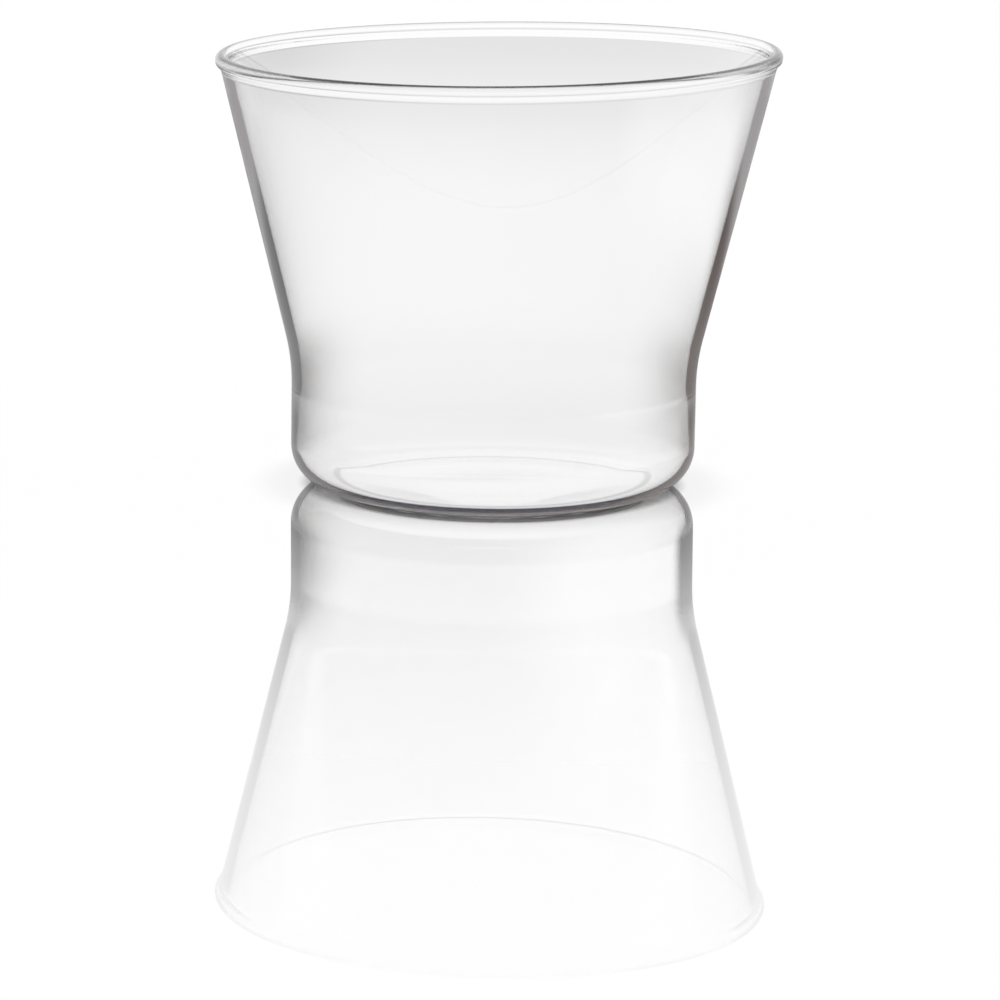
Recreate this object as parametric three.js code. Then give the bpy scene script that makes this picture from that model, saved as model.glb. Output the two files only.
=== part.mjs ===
// A clear blown-glass cup: a flat foot and an upright band that opens through a soft waist into a
// flared wall, finished with a fire-polished bead. The real cup is one continuous piece of glass.
// It is divided here into the zones that a glassworker names, which meet face to face on flat rings,
// so that together they hold exactly the glass of the cup.
// Millimetres, +Z up, origin at the middle of the foot on the surface that the cup stands on.

import * as THREE from "three";

// Driving dimensions
const RIM_DIAMETER = 94.8; // over the outside of the bead
const HEIGHT = 73.3; // from the foot to the top of the bead
const BAND_DIAMETER = 68.4; // outside of the upright band above the foot
const KNEE_HEIGHT = 21.4; // where the middles of the band and of the flared wall would meet
const WAIST_RADIUS = 36; // bend between the band and the flared wall, at the middle of the glass
const WALL = 1.7; // thickness of the waist and the flared wall
const BEAD_DIAMETER = 2.3; // thickened rim, flush with the inside and standing proud outside
const BEAD_FILLET = 2; // soft hollow under the bead, on the outside
const HEEL_RADIUS = 6.8; // outside curve from the foot into the band
const FLOOR = 1.2; // thickness of the floor and of the heel, where the glass is blown thinnest
const FOOT_RING_WIDTH = 5; // flat ring that the cup stands on
const PUNT_RISE = 0.7; // how far the underside is pushed up at the middle
const DOME_RISE = 0.7; // how far the inside of the floor is raised at the middle

// Fineness of the turned surfaces
const SEGMENTS = 72; // flats around the cup, a multiple of four so that the diameters are true
const HEEL_STEPS = 7;
const WAIST_STEPS = 6;
const BEAD_STEPS = 5; // in each of the three stretches of the bead
const FILLET_STEPS = 4;
const PUNT_STEPS = 4;

// Places worked out from the driving dimensions, as radius and height
const bandOuter = BAND_DIAMETER / 2;
const bandMiddle = bandOuter - WALL / 2;
const bandInnerTop = bandOuter - WALL;
const bandInnerFoot = bandOuter - FLOOR;
const footOuter = bandOuter - HEEL_RADIUS;
const footRingInner = footOuter - FOOT_RING_WIDTH;
const beadRadius = BEAD_DIAMETER / 2;
const beadCentre = new THREE.Vector2(RIM_DIAMETER / 2 - beadRadius, HEIGHT - beadRadius);

// The inside of the flared wall runs into the bead without a step, which sets the wall's slope.
const knee = new THREE.Vector2(bandMiddle, KNEE_HEIGHT);
const slopeToBead = Math.atan2(beadCentre.x - knee.x, beadCentre.y - knee.y);
const slopeToFlush = Math.asin((beadRadius - WALL / 2) / knee.distanceTo(beadCentre));
const flareSlope = slopeToBead - slopeToFlush;
const upWall = new THREE.Vector2(Math.sin(flareSlope), Math.cos(flareSlope));
const outOfWall = new THREE.Vector2(Math.cos(flareSlope), -Math.sin(flareSlope));

const waistStart = KNEE_HEIGHT - WAIST_RADIUS * Math.tan(flareSlope / 2);
const waistCentre = new THREE.Vector2(bandMiddle + WAIST_RADIUS, waistStart);
const waistTop = waistStart + (WAIST_RADIUS + WALL / 2) * Math.sin(flareSlope);

// The fillet touches the outside of the wall and the bead.
const filletOut = BEAD_FILLET + WALL - beadRadius;
const filletDown = Math.sqrt((beadRadius + BEAD_FILLET) ** 2 - filletOut ** 2);
const filletCentre = beadCentre
  .clone()
  .addScaledVector(outOfWall, filletOut)
  .addScaledVector(upWall, -filletDown);
const neck = filletCentre.y - BEAD_FILLET * outOfWall.y;

// Radius of the flared wall at a height, on the outside or the inside of the glass.
function flareRadius(height, side) {
  const middle = bandMiddle + (height - KNEE_HEIGHT) * Math.tan(flareSlope);
  return middle + (side * WALL) / 2 / Math.cos(flareSlope);
}
const OUTSIDE = 1;
const INSIDE = -1;

// Points of a round stretch of outline, from one angle to another in radians, ends included.
function arc(centre, radius, from, to, steps) {
  const points = [];
  for (let i = 0; i <= steps; i++) {
    const angle = from + ((to - from) * i) / steps;
    points.push(
      new THREE.Vector2(centre.x + radius * Math.cos(angle), centre.y + radius * Math.sin(angle)),
    );
  }
  return points;
}

// A shallow dome from the axis out to an edge, as part of a large circle.
function dome(edgeRadius, edgeHeight, rise, steps) {
  const radius = (edgeRadius ** 2 + rise ** 2) / (2 * rise);
  const centre = new THREE.Vector2(0, edgeHeight + rise - radius);
  const edgeAngle = Math.asin((radius - rise) / radius);
  const points = arc(centre, radius, Math.PI / 2, edgeAngle, steps);
  points[0].x = 0;
  points[steps].set(edgeRadius, edgeHeight);
  return points;
}

// The bend of the waist on one side of the glass, from the band up to where the wall runs straight.
function waistBend(side) {
  const radius = WAIST_RADIUS - (side * WALL) / 2;
  return arc(waistCentre, radius, Math.PI, Math.PI - flareSlope, WAIST_STEPS);
}

const at = (radius, height) => new THREE.Vector2(radius, height);

// Each material is its own, so that a zone can be picked out by itself.
function clearGlass() {
  return new THREE.MeshStandardMaterial({
    color: 0xf2f3f3,
    roughness: 0.02,
    metalness: 0,
    transparent: true,
    opacity: 0.35,
  });
}

// Turns an outline about the Z axis. Points that fall on the one before are left out.
function turned(name, outline) {
  const tooClose = 1e-4;
  const points = outline.filter((p, i) => i === 0 || p.distanceTo(outline[i - 1]) > tooClose);
  const geometry = new THREE.LatheGeometry(points, SEGMENTS);
  geometry.rotateX(Math.PI / 2);
  const mesh = new THREE.Mesh(geometry, clearGlass());
  mesh.name = name;
  return mesh;
}

// A zone whose outline comes back to its start, so that it is a ring with an open middle.
function turnedRing(name, outline) {
  return turned(name, [...outline, outline[0].clone()]);
}

// The floor of the cup, pushed up a little at the middle, with the flat ring that it stands on.
function baseDisc() {
  return turned("base_disc", [
    ...dome(footRingInner, 0, PUNT_RISE, PUNT_STEPS),
    at(footOuter, 0),
    at(footOuter, FLOOR),
    ...dome(footRingInner, FLOOR, DOME_RISE, PUNT_STEPS).reverse(),
  ]);
}

// The round corner between the floor and the upright band, of even thickness.
function heelRing() {
  const centre = at(footOuter, HEEL_RADIUS);
  return turnedRing("heel_ring", [
    ...arc(centre, HEEL_RADIUS, -Math.PI / 2, 0, HEEL_STEPS),
    ...arc(centre, HEEL_RADIUS - FLOOR, 0, -Math.PI / 2, HEEL_STEPS),
  ]);
}

// The upright band, which thickens inwards from the heel to the waist.
function lowerBand() {
  return turnedRing("lower_band", [
    at(bandOuter, HEEL_RADIUS),
    at(bandOuter, waistStart),
    at(bandInnerTop, waistStart),
    at(bandInnerFoot, HEEL_RADIUS),
  ]);
}

// The bend where the band opens out.
function waistRing() {
  const inside = waistBend(INSIDE).slice(1, -1).reverse();
  return turnedRing("waist_ring", [
    at(bandOuter, waistStart),
    ...waistBend(OUTSIDE).slice(1),
    at(flareRadius(waistTop, OUTSIDE), waistTop),
    at(flareRadius(waistTop, INSIDE), waistTop),
    ...inside,
    at(bandInnerTop, waistStart),
  ]);
}

// The straight flared wall.
function flaredWall() {
  return turnedRing("flared_wall", [
    at(flareRadius(waistTop, OUTSIDE), waistTop),
    at(flareRadius(neck, OUTSIDE), neck),
    at(flareRadius(neck, INSIDE), neck),
    at(flareRadius(waistTop, INSIDE), waistTop),
  ]);
}

// The thickened rim, with the hollow under it and the last of the wall inside it.
function rimBead() {
  const intoWall = Math.PI - flareSlope;
  const toBead = beadCentre.clone().sub(filletCentre);
  const filletEnd = Math.atan2(toBead.y, toBead.x);
  // The bead starts at the fillet and passes its widest and its highest points on the way inside.
  const beadStops = [filletEnd - Math.PI, 0, Math.PI / 2, intoWall];
  const stretches = beadStops
    .slice(1)
    .map((stop, i) => arc(beadCentre, beadRadius, beadStops[i], stop, BEAD_STEPS));
  return turnedRing("rim_bead", [
    at(flareRadius(neck, OUTSIDE), neck),
    ...arc(filletCentre, BEAD_FILLET, intoWall, filletEnd, FILLET_STEPS).slice(1),
    ...stretches.flat(),
    at(flareRadius(neck, INSIDE), neck),
  ]);
}

const cup = new THREE.Group();
cup.name = "glass_cup";
cup.add(baseDisc(), heelRing(), lowerBand(), waistRing(), flaredWall(), rimBead());

export default cup;
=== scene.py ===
"""Clear blown-glass cup with a beaded rim, standing on a polished pale floor.

Lengths are in metres and angles in radians unless a name says otherwise. +Z is up, the origin is the
middle of the foot, and the camera stands on the -Y side.
"""

import logging
import math
from collections.abc import Iterable
from dataclasses import dataclass
from enum import Enum

import bmesh
import bpy
from mathutils import Matrix, Vector

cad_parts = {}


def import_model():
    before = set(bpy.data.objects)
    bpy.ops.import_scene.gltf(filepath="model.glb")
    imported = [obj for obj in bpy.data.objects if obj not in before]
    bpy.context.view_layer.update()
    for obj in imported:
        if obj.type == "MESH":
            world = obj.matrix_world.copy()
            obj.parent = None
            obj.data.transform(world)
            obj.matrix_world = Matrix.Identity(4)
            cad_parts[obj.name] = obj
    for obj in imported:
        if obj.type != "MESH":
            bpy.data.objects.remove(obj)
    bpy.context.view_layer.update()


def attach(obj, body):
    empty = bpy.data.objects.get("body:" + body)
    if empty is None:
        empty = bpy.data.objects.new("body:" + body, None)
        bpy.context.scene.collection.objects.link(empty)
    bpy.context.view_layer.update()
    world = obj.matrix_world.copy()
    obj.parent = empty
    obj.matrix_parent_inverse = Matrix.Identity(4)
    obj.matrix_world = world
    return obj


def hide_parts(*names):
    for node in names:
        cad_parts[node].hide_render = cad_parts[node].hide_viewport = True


LOG = logging.getLogger("glass_cup")
MM = 0.001
WHITE = (1.0, 1.0, 1.0, 1.0)
NOISE_DETAIL = 2.0

# Light is told apart by how often it has bounced and how many faces of the glass it has passed.
# Those are whole numbers, and these limits lie between them.
AT_LEAST_ONE = 0.5
AT_LEAST_TWO = 1.5
PAST_FIRST_WALL = 2.5
PAST_SECOND_WALL = 3.5

# A mix node has sockets for every kind of data, and these are its share and its colours.
MIX_COLOUR_INPUTS = (0, 6, 7)
MIX_COLOUR_RESULT = 2

# A station is a point of an outline, as its radius and its height.
# A span is where a soft change starts and where it ends.
Station = tuple[float, float]
Span = tuple[float, float]
Stretch = tuple[float, float, float]
Colour = tuple[float, float, float, float]
Socket = bpy.types.NodeSocket
Outputs = bpy.types.NodeOutputs
Feed = Socket | float
Paint = Socket | Colour


class Side(Enum):
    """A face of the glass, as its sign away from the middle of the wall."""

    OUTSIDE = 1
    INSIDE = -1


def arc(centre: Station, radius: float, start: float, end: float, steps: int) -> list[Station]:
    """Lays out a round stretch of outline.

    Args:
        centre: Radius and height of the arc's centre.
        radius: Radius of the arc.
        start: Angle of the first point.
        end: Angle of the last point.
        steps: How many straight steps the arc is cut into.

    Returns:
        The points in order, both ends included.
    """
    turn = (end - start) / steps
    angles = [start + turn * i for i in range(steps + 1)]
    return [(centre[0] + radius * math.cos(a), centre[1] + radius * math.sin(a)) for a in angles]


def ease(share: float) -> float:
    """Turns a share from 0 to 1 into one that starts and ends softly."""
    share = min(max(share, 0.0), 1.0)
    return share * share * (3 - 2 * share)


def deselect_all() -> None:
    """Leaves nothing selected, so that an operator acts only on what comes next."""
    bpy.ops.object.select_all(action="DESELECT")


class Wiring:
    """Adds nodes to a node tree and joins them up."""

    def __init__(self, tree: bpy.types.NodeTree) -> None:
        """Keeps the tree that the nodes go into."""
        self.tree = tree

    def add(self, kind: str, **settings: str) -> bpy.types.Node:
        """Adds a node.

        Args:
            kind: Blender's name for the node, without its leading ShaderNode.
            settings: The node's own settings.

        Returns:
            The new node.
        """
        node = self.tree.nodes.new("ShaderNode" + kind)
        for name, value in settings.items():
            setattr(node, name, value)
        return node

    def feed(self, socket: Socket, value: Feed | Paint) -> None:
        """Joins a socket to another one, or sets it.

        Args:
            socket: The socket to feed.
            value: Another node's output, or a number or a colour.
        """
        if isinstance(value, Socket):
            self.tree.links.new(value, socket)
        else:
            socket.default_value = value

    def feed_all(self, sockets: Iterable[Socket], values: Iterable[Feed | Paint]) -> None:
        """Feeds each of a row of sockets with its value."""
        for socket, value in zip(sockets, values):
            self.feed(socket, value)

    def math(self, operation: str, *values: Feed) -> Socket:
        """Works out a number from others.

        Args:
            operation: Blender's name for what is worked out.
            values: The one, two or three numbers that it needs.

        Returns:
            The number.
        """
        node = self.add("Math", operation=operation)
        self.feed_all(node.inputs, values)
        return node.outputs[0]

    def product(self, first: Feed, *others: Feed) -> Socket:
        """Multiplies numbers.

        Args:
            first: The number to start from.
            others: The numbers to multiply it by, one after the other.

        Returns:
            The product.
        """
        for other in others:
            first = self.math("MULTIPLY", first, other)
        return first

    def above(self, value: Feed, limit: float) -> Socket:
        """Gives 1 where a value is over a limit, and 0 elsewhere."""
        return self.math("GREATER_THAN", value, limit)

    def slope(self, value: Feed, span: Span, low: float, high: float) -> Socket:
        """Takes a number softly from one level to another while a value crosses a span.

        Args:
            value: The value to follow.
            span: Where the change starts and where it ends.
            low: The number before the span.
            high: The number after the span.

        Returns:
            The number.
        """
        node = self.add("MapRange", interpolation_type="SMOOTHSTEP")
        names = ("Value", "From Min", "From Max", "To Min", "To Max")
        self.feed_all([node.inputs[name] for name in names], (value, *span, low, high))
        return node.outputs["Result"]

    def rise(self, value: Feed, span: Span) -> Socket:
        """Goes softly from 0 to 1 while a value crosses a span."""
        return self.slope(value, span, 0.0, 1.0)

    def fall(self, value: Feed, span: Span) -> Socket:
        """Goes softly from 1 to 0 while a value crosses a span."""
        return self.slope(value, span, 1.0, 0.0)

    def blend(self, share: Feed, first: Feed, second: Feed) -> Socket:
        """Mixes two numbers.

        Args:
            share: How much of the second number there is, from 0 to 1.
            first: The first number.
            second: The second number.

        Returns:
            The mixed number.
        """
        node = self.add("Mix", data_type="FLOAT")
        self.feed_all([node.inputs[name] for name in ("Factor", "A", "B")], (share, first, second))
        return node.outputs["Result"]

    def tint(self, share: Feed, first: Paint, second: Paint) -> Socket:
        """Mixes two colours.

        Args:
            share: How much of the second colour there is, from 0 to 1.
            first: The first colour.
            second: The second colour.

        Returns:
            The mixed colour.
        """
        node = self.add("Mix", data_type="RGBA")
        self.feed_all([node.inputs[i] for i in MIX_COLOUR_INPUTS], (share, first, second))
        return node.outputs[MIX_COLOUR_RESULT]

    def layer(self, share: Feed, first: Socket, second: Socket) -> Socket:
        """Mixes two shaders.

        Args:
            share: How much of the second shader there is, from 0 to 1.
            first: The first shader.
            second: The second shader.

        Returns:
            The mixed shader.
        """
        node = self.add("MixShader")
        self.feed_all(node.inputs, (share, first, second))
        return node.outputs[0]

    def grey(self, level: Socket) -> Socket:
        """Makes a grey.

        Args:
            level: How light it is, from 0 to 1.

        Returns:
            The grey as a colour.
        """
        node = self.add("CombineColor")
        self.feed_all(node.inputs, [level] * len(node.inputs))
        return node.outputs[0]

    def split(self, vector: Socket) -> Outputs:
        """Takes a vector apart.

        Args:
            vector: The vector.

        Returns:
            Its X, Y and Z.
        """
        node = self.add("SeparateXYZ")
        self.feed(node.inputs[0], vector)
        return node.outputs

    def level_dot(self, first: Socket, second: Socket) -> Socket:
        """Works out the dot product of two vectors with their heights left out.

        Args:
            first: The first vector.
            second: The second vector.

        Returns:
            The product.
        """
        first_x, first_y, _ = self.split(first)
        second_x, second_y, _ = self.split(second)
        return self.math("MULTIPLY_ADD", first_x, second_x, self.product(first_y, second_y))

    def radius(self, place: Socket) -> Socket:
        """Distance of a place from the Z axis."""
        return self.math("SQRT", self.level_dot(place, place))

    def facing(self) -> Socket:
        """Gives 0 where a surface is met head-on and 1 at its edges."""
        return self.add("LayerWeight").outputs["Facing"]

    def path(self) -> Outputs:
        """What is known of the light's way to a surface."""
        return self.add("LightPath").outputs

    def noise(self, place: Socket, scale: float, stretch: Stretch) -> Socket:
        """Adds a noise pattern.

        Args:
            place: The coordinates that the pattern lies on.
            scale: Fineness of the pattern.
            stretch: How much finer the pattern is along each axis.

        Returns:
            The pattern's value.
        """
        mapping = self.add("Mapping")
        mapping.inputs["Scale"].default_value = stretch
        noise = self.add("TexNoise")
        noise.inputs["Scale"].default_value = scale
        noise.inputs["Detail"].default_value = NOISE_DETAIL
        self.feed(mapping.inputs["Vector"], place)
        self.feed(noise.inputs["Vector"], mapping.outputs["Vector"])
        return noise.outputs["Fac"]


@dataclass(frozen=True)
class ClearGlass:
    """Colourless blown glass, fire-polished, with the faint waviness of the blowing."""

    name: str = "clear_glass"
    refraction: float = 1.47

    # Tint along the cords
    clear: Colour = (0.995, 0.995, 0.995, 1.0)
    cord: Colour = (0.985, 0.983, 0.984, 1.0)
    cord_scale: float = 9.0
    cord_stretch: Stretch = (1.0, 1.0, 4.0)

    # Painted shade: dark edges on the inside of the band
    edge: Colour = (0.25, 0.24, 0.235, 1.0)
    edge_facing: Span = (0.25, 0.85)  # 0 is head-on and 1 is grazing
    band_low: Span = (3.5 * MM, 7 * MM)  # heights
    band_high: Span = (18 * MM, 28 * MM)
    inside_radius: float = 32.8 * MM  # parts the inner face of the wall from the outer one
    inside_spread: float = 0.06  # how much that radius grows with the height

    # Painted shade on the edges of the band, only where the floor mirrors them
    mirror_edge_shade: Colour = (0.02, 0.02, 0.02, 1.0)
    mirror_left: Span = (0.3, 0.75)  # 0 is head-on and 1 is grazing
    mirror_right: Span = (0.55, 0.68)
    mirror_blur: float = 0.3  # roughness
    right_half: Span = (0.0, 20 * MM)  # along X

    # Painted dark line along the crest of the rim, seen only by the camera
    painted_rim_line: Colour = (0.05, 0.038, 0.036, 1.0)
    rim_facing: Span = (0.06, 0.38)  # 0 is head-on and 1 is grazing
    rim_low: Span = (71 * MM, 72 * MM)  # heights
    crest: Span = (0.6, 0.85)  # how far the surface faces up
    outward: Span = (-0.65, 0.0)  # how far it faces away from the axis

    # Film left by handling
    polish: float = 0.0
    film: float = 0.012
    film_stretch: Stretch = (3.0, 3.0, 3.0)
    film_patches: Span = (0.55, 0.85)

    # Waviness of the blowing
    wave_scale: float = 38.0
    wave_height: float = 0.02 * MM
    wave_stretch: Stretch = (1.0, 1.0, 1.6)

    def material(self) -> bpy.types.Material:
        """Builds the glass as nodes.

        Returns:
            The material, with a Principled BSDF that lets all light through.
        """
        material = bpy.data.materials.new(self.name)
        material.use_nodes = True
        wiring = Wiring(material.node_tree)
        shader = material.node_tree.nodes["Principled BSDF"]
        shader.inputs["IOR"].default_value = self.refraction
        shader.inputs["Transmission Weight"].default_value = 1.0
        place = wiring.add("TexCoord").outputs["Object"]
        wiring.feed(shader.inputs["Base Color"], self._colour_with_painted_shade(wiring, place))
        wiring.feed(shader.inputs["Roughness"], self._film(wiring, place))
        wiring.feed(shader.inputs["Normal"], self._waves(wiring, place))
        return material

    def _band(self, wiring: Wiring, height: Socket) -> Socket:
        """Gives 1 on the upright band and fades out into the heel and the flared wall."""
        return wiring.product(wiring.rise(height, self.band_low), wiring.fall(height, self.band_high))

    def _band_edge_shade(self, wiring: Wiring, place: Socket) -> Socket:
        """Finds where shade is painted at the edges of the inside of the band, but not on the right one
        as a mirror shows it.

        Args:
            wiring: The nodes to add to.
            place: The coordinates on the cup.

        Returns:
            1 at those edges and 0 elsewhere.
        """
        x, _, height = wiring.split(place)
        limit = wiring.math("MULTIPLY_ADD", height, self.inside_spread, self.inside_radius)
        inside = wiring.math("LESS_THAN", wiring.radius(place), limit)
        bounced = wiring.above(wiring.path()["Glossy Depth"], AT_LEAST_ONE)
        mirrored_right = wiring.product(wiring.rise(x, self.right_half), bounced)
        return wiring.product(
            wiring.rise(wiring.facing(), self.edge_facing),
            inside,
            self._band(wiring, height),
            wiring.math("SUBTRACT", 1.0, mirrored_right),
        )

    def _mirrored(self, wiring: Wiring, place: Socket) -> Socket:
        """Finds where shade is painted on the edges of the band as a mirror shows them, a thin line on
        the right.

        Args:
            wiring: The nodes to add to.
            place: The coordinates on the cup.

        Returns:
            1 at those edges and 0 elsewhere.
        """
        x, _, height = wiring.split(place)
        facing = wiring.facing()
        share = wiring.blend(
            wiring.rise(x, self.right_half),
            wiring.rise(facing, self.mirror_left),
            wiring.rise(facing, self.mirror_right),
        )
        path = wiring.path()
        straight = wiring.math("LESS_THAN", path["Ray Depth"], AT_LEAST_TWO)
        return wiring.product(share, path["Is Glossy Ray"], straight, self._band(wiring, height))

    def _painted_crest_line(self, wiring: Wiring, place: Socket) -> Socket:
        """Finds where a dark line is painted along the crest of the rim, away from the inside of the
        cup, where the camera sees it.

        Args:
            wiring: The nodes to add to.
            place: The coordinates on the cup.

        Returns:
            1 along the crest and 0 elsewhere.
        """
        normal = wiring.add("NewGeometry").outputs["Normal"]
        outward = wiring.math("DIVIDE", wiring.level_dot(normal, place), wiring.radius(place))
        return wiring.product(
            wiring.rise(wiring.facing(), self.rim_facing),
            wiring.rise(wiring.split(normal)["Z"], self.crest),
            wiring.rise(outward, self.outward),
            wiring.rise(wiring.split(place)["Z"], self.rim_low),
            wiring.path()["Is Camera Ray"],
        )

    def _colour_with_painted_shade(self, wiring: Wiring, place: Socket) -> Socket:
        """Lets a faint tint drift along the cords of the glass, and paints shade at the edges and on the
        rim.

        Args:
            wiring: The nodes to add to.
            place: The coordinates on the cup.

        Returns:
            The colour of the glass, with the painted shade.
        """
        cords = wiring.noise(place, self.cord_scale, self.cord_stretch)
        body = wiring.tint(cords, self.clear, self.cord)
        # Painted shade: dark edges of the band, their dark image in the mirror and a dark line on the
        # rim's crest
        edge_shaded = wiring.tint(self._band_edge_shade(wiring, place), body, self.edge)
        mirrored = wiring.tint(self._mirrored(wiring, place), edge_shaded, self.mirror_edge_shade)
        return wiring.tint(self._painted_crest_line(wiring, place), mirrored, self.painted_rim_line)

    def _film(self, wiring: Wiring, place: Socket) -> Socket:
        """Adds the very thin film that handling leaves on a clean glass, and softens mirrored edges.

        Args:
            wiring: The nodes to add to.
            place: The coordinates on the cup.

        Returns:
            The roughness of the glass.
        """
        patches = wiring.noise(place, self.cord_scale, self.film_stretch)
        film = wiring.slope(patches, self.film_patches, self.polish, self.film)
        return wiring.blend(self._mirrored(wiring, place), film, self.mirror_blur)

    def _waves(self, wiring: Wiring, place: Socket) -> Socket:
        """Adds the slow waviness of a blown wall.

        Args:
            wiring: The nodes to add to.
            place: The coordinates on the cup.

        Returns:
            The direction that the wavy surface faces.
        """
        bump = wiring.add("Bump")
        bump.inputs["Distance"].default_value = self.wave_height
        wiring.feed(bump.inputs["Height"], wiring.noise(place, self.wave_scale, self.wave_stretch))
        return bump.outputs["Normal"]


@dataclass
class GlassCup:
    """The whole cup as one skin of glass, turned about its axis and then drawn a little out of true."""

    # Sizes of the outline, the same as those of the solids
    rim_diameter: float = 94.8 * MM
    height: float = 73.3 * MM
    band_diameter: float = 68.4 * MM
    knee_height: float = 21.4 * MM  # where the middles of the band and of the flared wall would meet
    waist_radius: float = 36 * MM  # bend between those two, at the middle of the glass
    wall: float = 1.7 * MM
    bead_diameter: float = 2.3 * MM
    bead_fillet: float = 2 * MM  # hollow under the bead
    heel_radius: float = 6.8 * MM
    floor: float = 1.2 * MM  # thickness of the floor and of the heel
    foot_ring_width: float = 5 * MM
    punt_rise: float = 0.7 * MM  # how far the underside is pushed up at the middle
    dome_rise: float = 0.7 * MM  # how far the inside of the floor is raised at the middle

    # Traces of hand work
    swirl_height: float = 0.0015 * MM
    swirl_length: float = 11 * MM
    swirl_rise: float = 3.0  # how much faster the swirl rises from the axis than it fades outwards
    lean_deg: float = 0.29
    rim_tilt_deg: float = 0.9
    rim_lift: float = 0.35 * MM

    # Fineness of the surface
    turn_steps: int = 256
    bead_vertices: int = 60
    heel_steps: int = 22
    band_steps: int = 12
    waist_steps: int = 20
    wall_steps: int = 10
    fillet_steps: int = 12
    floor_steps: int = 44
    weld: float = 0.002 * MM  # points closer together than this become one

    @property
    def bead_radius(self) -> float:
        """Radius of the bead's section."""
        return self.bead_diameter / 2

    @property
    def bead_centre(self) -> Station:
        """Centre of the bead's section."""
        return self.rim_diameter / 2 - self.bead_radius, self.height - self.bead_radius

    @property
    def band_middle(self) -> float:
        """Radius of the top of the upright band at the middle of the glass."""
        return self.band_diameter / 2 - self.wall / 2

    @property
    def heel_centre(self) -> Station:
        """Centre that the outside and the inside of the heel bend around."""
        return self.band_diameter / 2 - self.heel_radius, self.heel_radius

    @property
    def ring_inner(self) -> float:
        """Radius of the inside of the flat ring that the cup stands on."""
        return self.heel_centre[0] - self.foot_ring_width

    @property
    def flare_slope(self) -> float:
        """Slope of the flared wall, whose inside runs into the bead without a step.

        Returns:
            The angle away from upright.
        """
        across = self.bead_centre[0] - self.band_middle
        up = self.bead_centre[1] - self.knee_height
        flush = math.asin((self.bead_radius - self.wall / 2) / math.hypot(across, up))
        return math.atan2(across, up) - flush

    @property
    def waist_start(self) -> float:
        """Height where the band starts to open out."""
        return self.knee_height - self.waist_radius * math.tan(self.flare_slope / 2)

    def flare(self, height: float, side: Side) -> Station:
        """A point of the flared wall at a height, on one face of the glass."""
        middle = self.band_middle + (height - self.knee_height) * math.tan(self.flare_slope)
        return middle + side.value * self.wall / 2 / math.cos(self.flare_slope), height

    def fillet_centre(self) -> Station:
        """Centre of the hollow under the bead, which touches the wall and the bead.

        Returns:
            Its radius and height.
        """
        slope = self.flare_slope
        out = self.bead_fillet + self.wall - self.bead_radius
        down = math.sqrt((self.bead_radius + self.bead_fillet) ** 2 - out**2)
        across = self.bead_centre[0] + out * math.cos(slope) - down * math.sin(slope)
        return across, self.bead_centre[1] - out * math.sin(slope) - down * math.cos(slope)

    def waist_bend(self, side: Side) -> list[Station]:
        """The bend of the waist on one face.

        Args:
            side: The face of the glass.

        Returns:
            The points from its top down to the band.
        """
        centre = (self.band_middle + self.waist_radius, self.waist_start)
        radius = self.waist_radius - side.value * self.wall / 2
        return arc(centre, radius, math.pi - self.flare_slope, math.pi, self.waist_steps)

    def wall_run(self, top: Station, side: Side) -> list[Station]:
        """The straight flared wall on one face.

        Args:
            top: The point below the bead that the wall starts from.
            side: The face of the glass.

        Returns:
            The points between that one and the waist, from the top down.
        """
        low = self.waist_bend(side)[0][1]
        drop = (low - top[1]) / self.wall_steps
        return [self.flare(top[1] + drop * i, side) for i in range(1, self.wall_steps)]

    def band_inside(self) -> list[Station]:
        """The inside of the band, where the glass thins evenly from the waist down to the heel.

        Returns:
            The points between the waist and the heel, from the top down.
        """
        run = []
        for i in range(1, self.band_steps):
            share = i / self.band_steps
            height = self.waist_start + (self.heel_radius - self.waist_start) * share
            glass = self.wall + (self.floor - self.wall) * share
            run.append((self.band_diameter / 2 - glass, height))
        return run

    def swell(self, edge: float, level: float, rise: float) -> list[Station]:
        """A face of the floor from an edge in to the axis, raised softly towards the middle.

        Args:
            edge: Radius where the face starts to rise.
            level: Height of the face at that edge.
            rise: How far the middle is raised.

        Returns:
            The points in order after the edge, the last one on the axis.
        """
        run = []
        for i in range(1, self.floor_steps + 1):
            share = 1 - i / self.floor_steps
            run.append((edge * share, level + rise * (1 + math.cos(math.pi * share)) / 2))
        return run

    def outside(self) -> list[Station]:
        """The outer face of the glass.

        Returns:
            The points from the hollow under the bead down to the middle of the foot.
        """
        centre = self.fillet_centre()
        from_bead = math.atan2(self.bead_centre[1] - centre[1], self.bead_centre[0] - centre[0])
        into_wall = math.pi - self.flare_slope
        fillet = arc(centre, self.bead_fillet, from_bead, into_wall, self.fillet_steps)
        heel = arc(self.heel_centre, self.heel_radius, 0, -math.pi / 2, self.heel_steps)
        run = fillet + self.wall_run(fillet[-1], Side.OUTSIDE) + self.waist_bend(Side.OUTSIDE) + heel
        return run + [(self.ring_inner, 0.0)] + self.swell(self.ring_inner, 0.0, self.punt_rise)

    def inside(self) -> list[Station]:
        """The inner face of the glass.

        Returns:
            The points from the bead down to the middle of the floor.
        """
        into_wall = math.pi - self.flare_slope
        flush = (
            self.bead_centre[0] + self.bead_radius * math.cos(into_wall),
            self.bead_centre[1] + self.bead_radius * math.sin(into_wall),
        )
        heel = arc(self.heel_centre, self.heel_radius - self.floor, 0, -math.pi / 2, self.heel_steps)
        wall = [flush] + self.wall_run(flush, Side.INSIDE) + self.waist_bend(Side.INSIDE)
        floor = self.swell(self.heel_centre[0], self.floor, self.dome_rise)
        return wall + self.band_inside() + heel + floor

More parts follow.
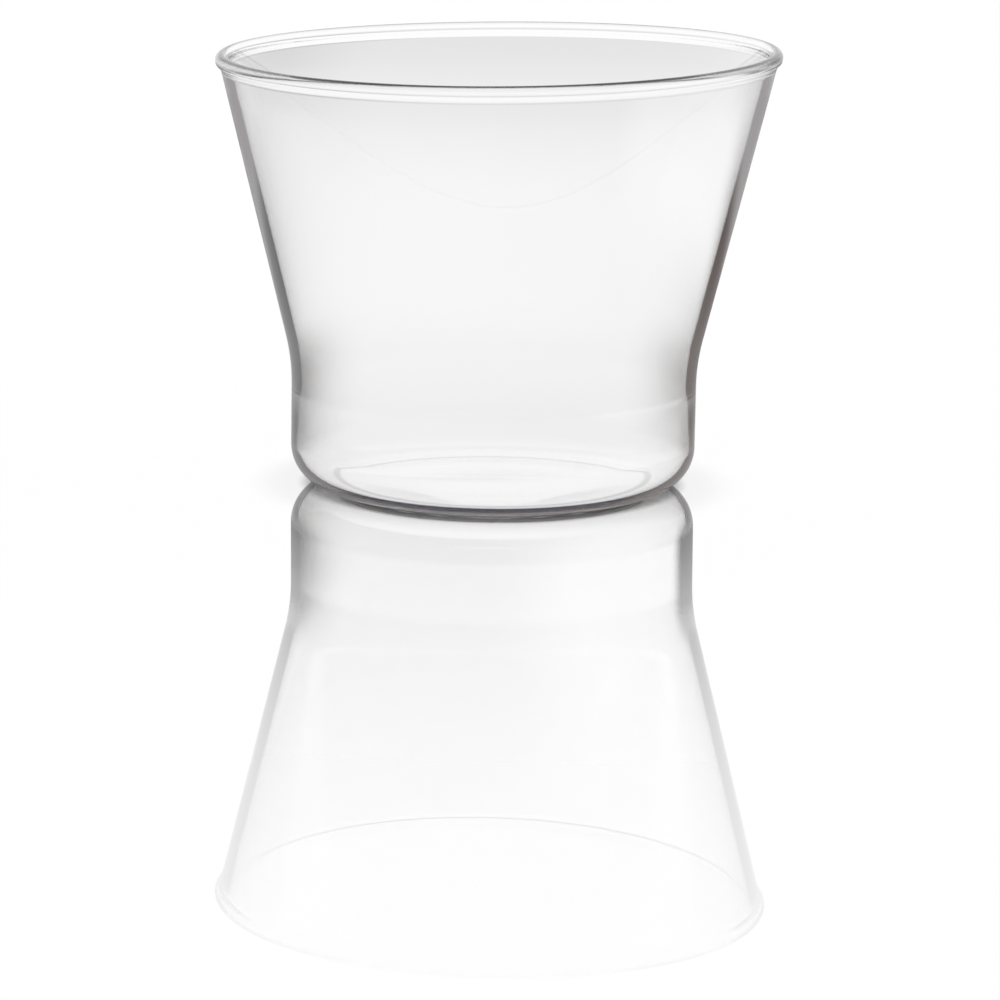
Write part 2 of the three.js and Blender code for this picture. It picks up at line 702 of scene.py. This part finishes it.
    def _open_bead(self, cup: bpy.types.Object) -> None:
        """Takes out the stretch of the bead's circle that the wall runs into.

        Args:
            cup: The cup's object, in edit mode.
        """
        centre = self.fillet_centre()
        low = math.atan2(centre[1] - self.bead_centre[1], centre[0] - self.bead_centre[0])
        high = math.pi - self.flare_slope
        mesh = bmesh.from_edit_mesh(cup.data)
        margin = math.pi / self.bead_vertices
        for vertex in mesh.verts:
            across = vertex.co.x - self.bead_centre[0]
            angle = math.atan2(vertex.co.z - self.bead_centre[1], across)
            vertex.select = not low + margin < angle < high - margin
        mesh.select_flush_mode()
        bmesh.update_edit_mesh(cup.data)
        bpy.ops.mesh.delete(type="VERT")

    def _draw(self, cup: bpy.types.Object, run: list[Station]) -> None:
        """Draws a run of outline by pulling it out of the nearest end of the bead, point by point.

        Args:
            cup: The cup's object, in edit mode.
            run: The points to pull through.
        """
        bpy.ops.mesh.select_all(action="DESELECT")
        mesh = bmesh.from_edit_mesh(cup.data)
        first = Vector((run[0][0], 0.0, run[0][1]))
        ends = [v for v in mesh.verts if len(v.link_edges) == 1]
        end = min(ends, key=lambda v: (v.co - first).length)
        end.select = True
        mesh.select_history.add(end)
        bmesh.update_edit_mesh(cup.data)
        here = end.co.copy()
        for radius, height in run:
            there = Vector((radius, 0.0, height))
            bpy.ops.mesh.extrude_region_move(TRANSFORM_OT_translate={"value": there - here})
            here = there

    def _draw_out_of_true(self, cup: bpy.types.Object) -> None:
        """Gives the turned cup the swirl on its floor and the slight lean and tilt of hand work.

        Args:
            cup: The cup's object.
        """
        swirl_edge = self.ring_inner
        above_floor = (self.floor + self.punt_rise) / 2
        lean = math.tan(math.radians(self.lean_deg))
        tilt = math.tan(math.radians(self.rim_tilt_deg))
        for vertex in cup.data.vertices:
            x, y, z = vertex.co
            radius = math.hypot(x, y)
            if radius < swirl_edge and z > above_floor:
                window = ease(1 - radius / swirl_edge) * ease(self.swirl_rise * radius / swirl_edge)
                turns = radius / self.swirl_length - math.atan2(y, x) / (2 * math.pi)
                z += self.swirl_height * window * math.cos(2 * math.pi * turns)
            share = (z / self.height) ** 2
            lift = self.rim_lift * (x / (self.rim_diameter / 2)) ** 2
            vertex.co = (x + lean * z, y, z + (tilt * x + lift) * share)
        cup.data.update()

    def build(self) -> bpy.types.Object:
        """Models the cup: the bead's circle, the two faces pulled out of it, and one full turn.

        Returns:
            The cup's object, at the origin.
        """
        deselect_all()
        bpy.ops.mesh.primitive_circle_add(
            vertices=self.bead_vertices,
            radius=self.bead_radius,
            location=(self.bead_centre[0], 0.0, self.bead_centre[1]),
            rotation=(math.pi / 2, 0.0, 0.0),
        )
        cup = bpy.context.object
        cup.name = "glass_body"
        bpy.ops.object.transform_apply(location=True, rotation=True, scale=True)
        bpy.ops.object.mode_set(mode="EDIT")
        bpy.ops.mesh.select_mode(type="VERT")
        self._open_bead(cup)
        self._draw(cup, self.outside())
        self._draw(cup, self.inside())
        bpy.ops.mesh.select_all(action="SELECT")
        bpy.ops.mesh.spin(
            steps=self.turn_steps, angle=2 * math.pi, center=(0.0, 0.0, 0.0), axis=(0.0, 0.0, 1.0)
        )
        bpy.ops.mesh.select_all(action="SELECT")
        bpy.ops.mesh.remove_doubles(threshold=self.weld)
        bpy.ops.mesh.normals_make_consistent(inside=False)
        bpy.ops.object.mode_set(mode="OBJECT")
        self._draw_out_of_true(cup)
        bpy.ops.object.shade_smooth()
        return cup

    def dress(self, cup: bpy.types.Object, finish: ClearGlass) -> None:
        """Gives the cup its glass and its place on the solids.

        Args:
            cup: The cup's object.
            finish: The glass that it is made of.
        """
        cup.data.materials.clear()
        cup.data.materials.append(finish.material())
        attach(cup, "root")
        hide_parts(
            "base_disc", "heel_ring", "lower_band", "waist_ring", "flared_wall", "rim_bead"
        )


@dataclass(frozen=True)
class Cards:
    """Painted reflections of grey, dark and white cards, found only by light that has bounced inside or
    off the glass.

    So the cup is clear against white and drawn by its dark edges from every side. The spans are
    distances from the middle of the foot, unless a comment says otherwise.
    """

    # For light that only bounced off the outside
    left: Colour = (0.5, 0.5, 0.51, 1.0)
    right: Colour = (0.13, 0.11, 0.105, 1.0)
    left_to_right: Span = (-0.03, 0.03)  # along X
    near: Colour = (0.75, 0.74, 0.73, 1.0)
    near_end: Span = (0.03, 0.08)

    # For light that turned back inside a single wall
    inner_left: Colour = (0.08, 0.076, 0.076, 1.0)
    inner_right: Colour = (0.08, 0.056, 0.05, 1.0)
    foot_left: Colour = (0.16, 0.15, 0.148, 1.0)
    foot_right: Colour = (0.14, 0.115, 0.105, 1.0)
    foot_end: Span = (0.06, 0.16)
    steep: Colour = (0.045, 0.04, 0.055, 1.0)
    steep_facing: Span = (0.35, 0.5)  # 0 is head-on and 1 is grazing
    open_sky: Span = (0.24, 0.32)  # height of the light's direction

    # Beside the cup, for both
    left_side: Colour = (0.05, 0.05, 0.05, 1.0)
    right_side: Colour = (0.85, 0.85, 0.85, 1.0)
    beside: Span = (0.72, 0.9)  # along X, as a share of the distance
    beside_start: Span = (0.09, 0.15)

    # Beyond the ends of those cards
    end: Span = (0.188, 0.255)
    end_light: Colour = (0.33, 0.32, 0.32, 1.0)
    far: Span = (0.48, 0.6)
    far_light: Colour = (0.9, 0.9, 0.9, 1.0)

    # For light that went through more walls
    deep: Colour = (0.97, 0.97, 0.97, 1.0)
    ripple: Colour = (0.75, 0.75, 0.75, 1.0)
    under: Colour = (0.96, 0.96, 0.96, 1.0)
    under_end: Span = (0.024, 0.03)

    # How many bounces make light rippled, led along by a wall, or circling in the rim
    rippled: float = 8.5
    led: float = 20.5
    circling: Span = (36, 66)

    def by_way(self, wiring: Wiring, path: Outputs, outer: Paint, inner: Paint, deep: Paint) -> Socket:
        """Picks a colour by the way that light has come.

        Args:
            wiring: The nodes to add to.
            path: What is known of the light's way.
            outer: Colour for light that only bounced off the outside.
            inner: Colour for light that turned back inside a single wall.
            deep: Colour for light that went through more walls.

        Returns:
            The colour that fits, dark for light that a wall leads along and pale for what circles in
            the rim.
        """
        passes = path["Transmission Depth"]
        turns = path["Glossy Depth"]
        shallow = wiring.tint(wiring.above(passes, AT_LEAST_ONE), outer, inner)
        card = wiring.tint(wiring.above(passes, PAST_SECOND_WALL), shallow, deep)
        led = wiring.tint(wiring.rise(turns, self.circling), self.inner_left, self.far_light)
        return wiring.tint(wiring.above(turns, self.led), card, led)

    def _with_sides(self, wiring: Wiring, x: Socket, away: Socket, card: Socket) -> Socket:
        """Adds a dark card to the left of the cup and a white one to its right.

        Args:
            wiring: The nodes to add to.
            x: How far a place on the floor lies to the right.
            away: Its distance from the middle of the foot.
            card: Colour without the two.

        Returns:
            The colour with both cards.
        """
        across = wiring.math("DIVIDE", x, away)
        start = wiring.rise(away, self.beside_start)
        for sign, colour in ((-1.0, self.left_side), (1.0, self.right_side)):
            beside = wiring.rise(wiring.product(across, sign), self.beside)
            card = wiring.tint(wiring.product(beside, start), card, colour)
        return card

    def on_floor(self, wiring: Wiring, path: Outputs, x: Socket, away: Socket) -> Socket:
        """Lays the cards out on the floor.

        Args:
            wiring: The nodes to add to.
            path: What is known of the light's way.
            x: How far a place on the floor lies to the right.
            away: Its distance from the middle of the foot.

        Returns:
            The colour that light finds there.
        """
        side = wiring.rise(x, self.left_to_right)
        outer = wiring.tint(
            wiring.rise(away, self.near_end),
            self.near,
            wiring.tint(side, self.left, self.right),
        )
        inner = wiring.tint(
            wiring.rise(away, self.foot_end),
            wiring.tint(side, self.foot_left, self.foot_right),
            wiring.tint(side, self.inner_left, self.inner_right),
        )
        inner = wiring.tint(wiring.fall(wiring.facing(), self.steep_facing), inner, self.steep)
        end = wiring.rise(away, self.end)
        beyond = wiring.tint(wiring.rise(away, self.far), self.end_light, self.far_light)
        outer, inner = (
            wiring.tint(end, self._with_sides(wiring, x, away, card), beyond) for card in (outer, inner)
        )
        rippled = wiring.above(path["Glossy Depth"], self.rippled)
        deep = wiring.tint(rippled, self.deep, self.ripple)
        deep = wiring.tint(wiring.fall(away, self.under_end), deep, self.under)
        return self.by_way(wiring, path, outer, inner, deep)

    def in_sky(self, wiring: Wiring, path: Outputs, up: Socket) -> Socket:
        """Puts the cards into the surroundings, by the height of the light's direction."""
        inner = wiring.tint(wiring.rise(up, self.open_sky), self.inner_left, WHITE)
        return self.by_way(wiring, path, self.left, inner, WHITE)


@dataclass(frozen=True)
class PolishedFloor:
    """Pale floor that mirrors the cup close by and turns plain white further out.

    The spans are distances from the middle of the foot, unless a comment says otherwise.
    """

    half_width: float = 3.0
    drop: float = 0.05 * MM  # keeps the floor clear of the foot
    polish_reach: float = 0.13  # distance where the mirror has lost half its strength
    shadow_share: float = 0.16  # how much of the floor takes the cup's shadow

    # Painted shade around the foot
    contact_light: float = 0.4
    contact_inner: Span = (0.0265, 0.0285)
    contact_outer: Span = (0.03, 0.0335)
    shade_light: float = 0.9
    shade_outer: Span = (0.034, 0.043)

    # Painted dark line on the floor under the heel, for light that has passed the first wall of the
    # glass
    foot_line_shade: float = 0.65
    foot_line_shade_inner: Span = (0.0257, 0.0264)
    foot_line_shade_outer: Span = (0.0269, 0.0276)

    # Painted shade on the floor where the glass shows it: near the cup, far off and far to the left
    near_light: float = 0.92
    near_reach: Span = (0.06, 0.2)
    foot_reach: Span = (0.03, 0.052)
    far_light: float = 0.77
    far_reach: Span = (0.3, 0.7)
    left_light: float = 0.75
    left_reach: Span = (-0.1, -0.035)  # along X
    left_away: Span = (0.42, 0.62)

    def build(self, cards: Cards) -> bpy.types.Object:
        """Lays the floor.

        Args:
            cards: What bounced light finds on it.

        Returns:
            The floor's object.
        """
        deselect_all()
        bpy.ops.mesh.primitive_grid_add(
            x_subdivisions=2, y_subdivisions=2, size=2 * self.half_width, location=(0, 0, -self.drop)
        )
        floor = bpy.context.object
        floor.name = "floor"
        floor.data.materials.append(self._finish(cards))
        return floor

    def _ring(self, wiring: Wiring, away: Socket, inner: Span, outer: Span) -> Socket:
        """Gives 1 on a soft ring around the middle of the foot, and 0 elsewhere."""
        return wiring.product(wiring.rise(away, inner), wiring.fall(away, outer))

    def _contact(self, wiring: Wiring, away: Socket) -> Socket:
        """Paints shade on the floor around the foot, darkest where the heel rises from it.

        Args:
            wiring: The nodes to add to.
            away: Distance from the middle of the foot.

        Returns:
            How light the floor is, from 0 to 1.
        """
        ring = self._ring(wiring, away, self.contact_inner, self.contact_outer)
        shade = self._ring(wiring, away, self.contact_inner, self.shade_outer)
        contact = wiring.blend(ring, 1.0, self.contact_light)
        return wiring.product(contact, wiring.blend(shade, 1.0, self.shade_light))

    def _level(self, wiring: Wiring, passes: Socket, x: Socket, away: Socket, contact: Socket) -> Socket:
        """Works out the painted shade of the floor where the glass shows it.

        Args:
            wiring: The nodes to add to.
            passes: How many faces of the glass the light has passed.
            x: How far a place on the floor lies to the right.
            away: Its distance from the middle of the foot.
            contact: Painted shade around the foot.

        Returns:
            The light of the floor, from 0 to 1.
        """
        # Painted shade, seen only through the glass: near the cup, far off and far to the left
        near = wiring.slope(away, self.near_reach, self.near_light, 1.0)
        around = wiring.blend(wiring.fall(away, self.foot_reach), near, 1.0)
        far = wiring.slope(away, self.far_reach, 1.0, self.far_light)
        # Painted dark line under the heel for light past the first wall, painted shade around the foot
        # for the rest
        line = self._ring(wiring, away, self.foot_line_shade_inner, self.foot_line_shade_outer)
        line_shade = wiring.blend(line, 1.0, self.foot_line_shade)
        foot = wiring.blend(wiring.above(passes, PAST_FIRST_WALL), contact, line_shade)
        left = wiring.slope(x, self.left_reach, self.left_light, 1.0)
        far_left = wiring.blend(wiring.rise(away, self.left_away), 1.0, left)
        return wiring.product(around, far, foot, far_left)

    def _finish(self, cards: Cards) -> bpy.types.Material:
        """Builds the floor's finish as nodes.

        Args:
            cards: What bounced light finds on it.

        Returns:
            The material.
        """
        material = bpy.data.materials.new("pale_polished_floor")
        material.use_nodes = True
        material.node_tree.nodes.clear()
        wiring = Wiring(material.node_tree)
        place = wiring.add("TexCoord").outputs["Object"]
        length = wiring.add("VectorMath", operation="LENGTH")
        wiring.feed(length.inputs[0], place)
        away = length.outputs["Value"]
        x = wiring.split(place)["X"]
        path = wiring.path()
        passes = path["Transmission Depth"]
        through = wiring.above(passes, AT_LEAST_ONE)
        bounced = wiring.above(path["Glossy Depth"], AT_LEAST_ONE)

        # Plain white with a trace of the cup's shadow
        matt = wiring.add("BsdfDiffuse")
        matt.inputs["Color"].default_value = WHITE
        white = wiring.add("Emission").outputs[0]
        plain = wiring.layer(self.shadow_share, white, matt.outputs[0])

        # What the glass shows of the floor, with painted shade and the cards' painted reflections
        contact = self._contact(wiring, away)
        seen = wiring.grey(self._level(wiring, passes, x, away, contact))
        card = cards.on_floor(wiring, path, x, away)
        glow = wiring.add("Emission")
        wiring.feed(glow.inputs["Color"], wiring.tint(bounced, seen, card))
        pale = wiring.layer(wiring.math("MAXIMUM", through, bounced), plain, glow.outputs[0])

        # Polish that fades with the distance, its reflection darkened by the painted shade around the
        # foot
        mirror = wiring.add("BsdfGlossy")
        mirror.inputs["Roughness"].default_value = 0.0
        wiring.feed(mirror.inputs["Color"], wiring.grey(contact))
        share = wiring.math("DIVIDE", away, self.polish_reach)
        fade = wiring.math("DIVIDE", 1.0, wiring.math("MULTIPLY_ADD", share, share, 1.0))
        mirrored = wiring.product(fade, wiring.math("SUBTRACT", 1.0, through))
        surface = wiring.layer(mirrored, pale, mirror.outputs[0])
        wiring.feed(wiring.add("OutputMaterial").inputs["Surface"], surface)
        return material


@dataclass(frozen=True)
class Surroundings:
    """White surroundings, with painted shade near the horizon where the mirrored cup shows them."""

    # Painted shade near the horizon, with spans of the light's direction
    horizon: Colour = (0.86, 0.86, 0.86, 1.0)
    horizon_low: Span = (0.198, 0.206)
    horizon_high: Span = (0.22, 0.34)
    horizon_end: Span = (-0.005, 0.04)

    def _backdrop(self, wiring: Wiring, path: Outputs, way: Outputs) -> Socket:
        """Colours the surroundings for light that has bounced no more than once, with painted shade near
        the horizon.

        Args:
            wiring: The nodes to add to.
            path: What is known of the light's way.
            way: Direction of the light.

        Returns:
            The colour that the light finds.
        """
        share = wiring.product(
            wiring.above(path["Glossy Depth"], AT_LEAST_ONE),
            wiring.above(path["Transmission Depth"], PAST_SECOND_WALL),
            wiring.rise(way["Z"], self.horizon_low),
            wiring.fall(way["Z"], self.horizon_high),
            wiring.fall(way["X"], self.horizon_end),
        )
        return wiring.tint(share, WHITE, self.horizon)

    def build(self, cards: Cards) -> None:
        """Sets up the surroundings.

        Args:
            cards: What bounced light finds there.
        """
        world = bpy.data.worlds.new("studio")
        bpy.context.scene.world = world
        world.use_nodes = True
        wiring = Wiring(world.node_tree)
        path = wiring.path()
        way = wiring.split(wiring.add("TexCoord").outputs["Generated"])
        bounced = wiring.above(path["Glossy Depth"], AT_LEAST_TWO)
        backdrop = self._backdrop(wiring, path, way)
        light = wiring.tint(bounced, backdrop, cards.in_sky(wiring, path, way["Z"]))
        wiring.feed(world.node_tree.nodes["Background"].inputs["Color"], light)


@dataclass(frozen=True)
class Viewpoint:
    """The camera, placed so that the foot falls where the photograph shows it."""

    distance: float = 0.8629
    elevation_deg: float = 11.504
    roll_deg: float = 0.65
    focal_px: float = 5078.3
    frame_px: float = 1000.0
    foot_px: tuple[float, float] = (492.0, 482.3)  # where the middle of the foot falls in the frame
    sensor_mm: float = 36.0

    def build(self) -> None:
        """Sets up the camera."""
        data = bpy.data.cameras.new("camera")
        data.sensor_width = self.sensor_mm
        data.lens = self.focal_px / self.frame_px * self.sensor_mm
        camera = bpy.data.objects.new("camera", data)
        bpy.context.scene.collection.objects.link(camera)
        lift = math.radians(self.elevation_deg)
        place = Vector((0.0, -math.cos(lift), math.sin(lift))) * self.distance
        aim = Matrix.Rotation(math.pi / 2 - lift, 4, "X")
        centre = self.frame_px / 2
        across = math.atan((centre - self.foot_px[0]) / self.focal_px)
        down = math.atan((centre - self.foot_px[1]) / self.focal_px)
        turn = Matrix.Rotation(-across, 4, "Y") @ Matrix.Rotation(-down, 4, "X")
        roll = Matrix.Rotation(math.radians(self.roll_deg), 4, "Z")
        camera.matrix_world = Matrix.Translation(place) @ aim @ turn @ roll
        bpy.context.scene.camera = camera


@dataclass(frozen=True)
class Studio:
    """Everything around the cup: the camera, the surroundings, the floor and the painted reflections of
    cards on both.
    """

    viewpoint: Viewpoint = Viewpoint()
    surroundings: Surroundings = Surroundings()
    floor: PolishedFloor = PolishedFloor()
    cards: Cards = Cards()
    bounces: int = 200

    def build(self) -> None:
        """Sets the studio up."""
        self.viewpoint.build()
        self._view()
        self.surroundings.build(self.cards)
        self.floor.build(self.cards)

    def _view(self) -> None:
        """Sets how light becomes colour, and lets light pass every wall of the glass."""
        scene = bpy.context.scene
        scene.view_settings.view_transform = "Standard"
        scene.cycles.max_bounces = self.bounces
        scene.cycles.glossy_bounces = self.bounces
        scene.cycles.transmission_bounces = self.bounces


def main() -> None:
    """Builds the cup and its studio."""
    logging.basicConfig(level=logging.INFO, format="%(name)s: %(message)s")
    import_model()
    Studio().build()
    cup = GlassCup()
    body = cup.build()
    cup.dress(body, ClearGlass())
    LOG.info("%s: %d faces", body.name, len(body.data.polygons))
    bpy.context.view_layer.update()


if __name__ == "__main__":
    main()
